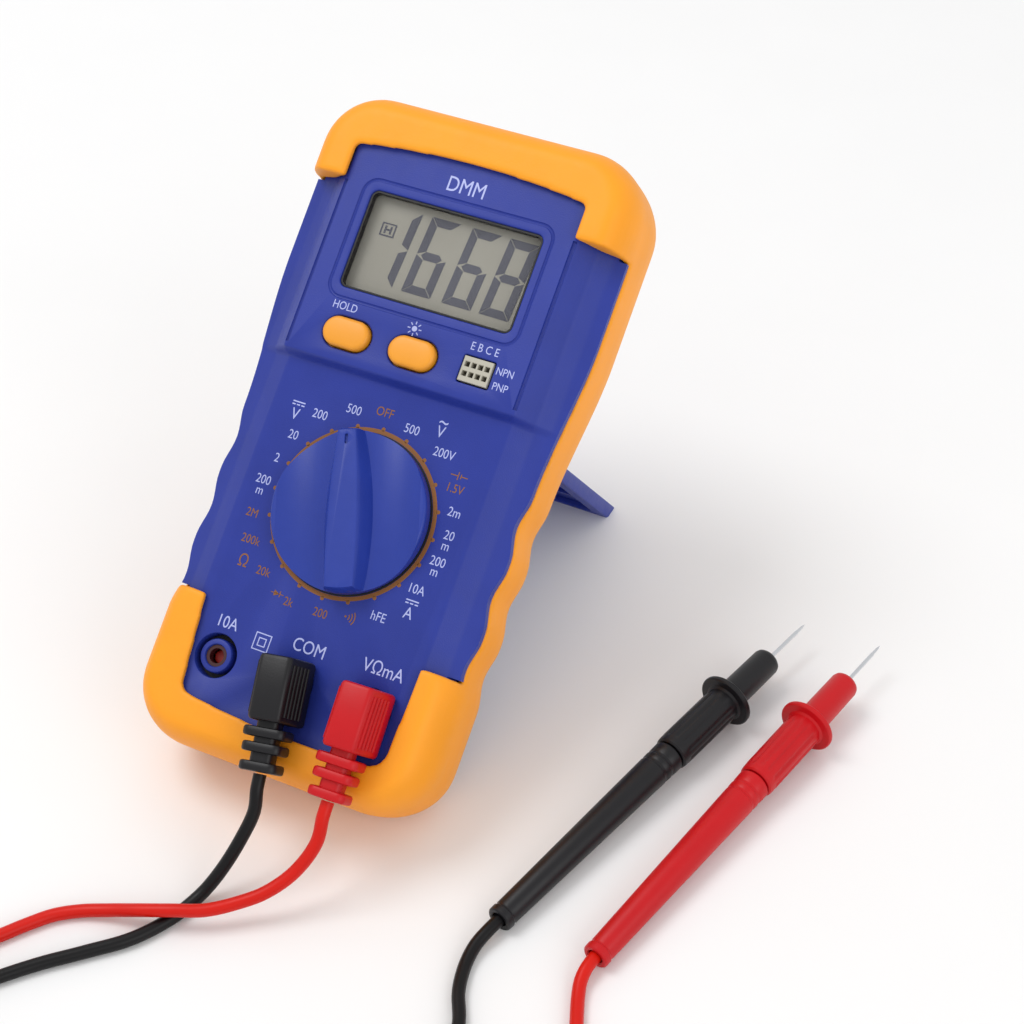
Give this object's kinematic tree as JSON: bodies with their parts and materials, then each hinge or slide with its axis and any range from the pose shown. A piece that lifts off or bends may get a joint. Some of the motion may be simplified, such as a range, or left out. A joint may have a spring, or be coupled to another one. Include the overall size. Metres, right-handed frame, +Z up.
{
  "type": "digital multimeter",
  "caption": "Pocket digital multimeter in a rubber holster, leaning on its kickstand, with rotary range dial, display, jacks and two test leads with probes.",
  "frame": {"origin": "middle of the meter's footprint on the surface it stands on, leads left out", "axes": "+Z up, +X to the meter's right seen from the front, +Y towards its back; the face leans back 50 degrees from upright"},
  "size_m": [0.1494, 0.2326, 0.104],
  "materials": {
    "orange_rubber": "soft satin moulded rubber",
    "blue_plastic": "fine satin moulded plastic",
    "knob_plastic": "satin moulded plastic",
    "button_plastic": "satin moulded plastic",
    "black_plastic": "satin moulded plastic",
    "red_plastic": "satin moulded plastic",
    "black_cord": "smooth flexible sleeve",
    "red_cord": "smooth flexible sleeve",
    "grey_plastic": "light moulded plastic",
    "white_plastic": "milky light guide",
    "carbon_rubber": "layered contact strip",
    "circuit_board": "laminate with solder side down",
    "brass": "plated and slightly dull",
    "steel": "plated",
    "needle_steel": "bright ground needle",
    "battery_jacket": "painted metal jacket",
    "fuse_glass": "clear tube with metal ends",
    "lcd_glass": "silvery green-grey display glass",
    "window_plastic": "clear polished cover"
  },
  "bodies": {
    "meter": {"holster": "orange_rubber", "front_case": "blue_plastic", "rear_case": "blue_plastic", "stand_hinge_pin": "steel", "hold_switch": "grey_plastic", "backlight_switch": "grey_plastic", "lcd_window": "window_plastic", "lcd_glass": "lcd_glass", "backlight_panel": "white_plastic", "zebra_strip_lower": "carbon_rubber", "zebra_strip_upper": "carbon_rubber", "lcd_frame": "black_plastic", "circuit_board": "circuit_board", "jack_10a": "brass", "jack_com": "brass", "jack_vma": "brass", "hfe_socket": "grey_plastic", "driver_chip": "black_plastic", "buzzer": "brass", "fuse": "fuse_glass", "fuse_clip_left": "brass", "fuse_clip_right": "brass", "shunt_wire": "brass", "battery_9v": "battery_jacket", "battery_snap": "black_plastic", "battery_wire_red": "red_cord", "battery_wire_black": "black_cord", "case_screw_1": "steel", "case_screw_2": "steel", "case_screw_3": "steel", "case_screw_4": "steel", "board_screw_1": "steel", "board_screw_2": "steel", "black_cord_out": "black_cord", "black_cord_coil": "black_cord", "black_cord_back": "black_cord", "black_probe_handle": "black_plastic", "black_probe_grip": "black_plastic", "black_probe_needle": "needle_steel", "red_cord_out": "red_cord", "red_cord_coil": "red_cord", "red_cord_back": "red_cord", "red_probe_handle": "red_plastic", "red_probe_grip": "red_plastic", "red_probe_needle": "needle_steel"},
    "dial": {"dial_knob": "knob_plastic", "contact_carrier": "black_plastic", "detent_ball_left": "steel", "detent_ball_right": "steel", "detent_spring_left": "steel", "detent_spring_right": "steel", "wiper_1": "brass", "wiper_2": "brass"},
    "hold_button": {"hold_button": "button_plastic"},
    "backlight_button": {"backlight_button": "button_plastic"},
    "kickstand": {"kickstand": "blue_plastic"},
    "com_plug": {"com_plug_body": "black_plastic", "com_plug_pin": "brass"},
    "vma_plug": {"vma_plug_body": "red_plastic", "vma_plug_pin": "brass"}
  },
  "joints": [
    {"name": "dial_turn", "type": "hinge", "parent": "meter", "child": "dial", "pos_m": [0, -0.01889, 0.0506], "axis": [0, -0.6428, 0.766], "continuous": true},
    {"name": "hold_button_press", "type": "slide", "parent": "meter", "child": "hold_button", "axis": [0, 0.6428, -0.766], "range_m": [0, 0.0009], "stiffness_N_per_m": 600},
    {"name": "backlight_button_press", "type": "slide", "parent": "meter", "child": "backlight_button", "axis": [0, 0.6428, -0.766], "range_m": [0, 0.0009], "stiffness_N_per_m": 600},
    {"name": "stand_fold", "type": "hinge", "parent": "meter", "child": "kickstand", "pos_m": [0, 0.01563, 0.04836], "axis": [1, 0, 0], "range_deg": [-90, 0]},
    {"name": "com_plug_pull", "type": "slide", "parent": "meter", "child": "com_plug", "axis": [0, -0.6428, 0.766], "range_m": [0, 0.018]},
    {"name": "vma_plug_pull", "type": "slide", "parent": "meter", "child": "vma_plug", "axis": [0, -0.6428, 0.766], "range_m": [0, 0.018]}
  ]
}
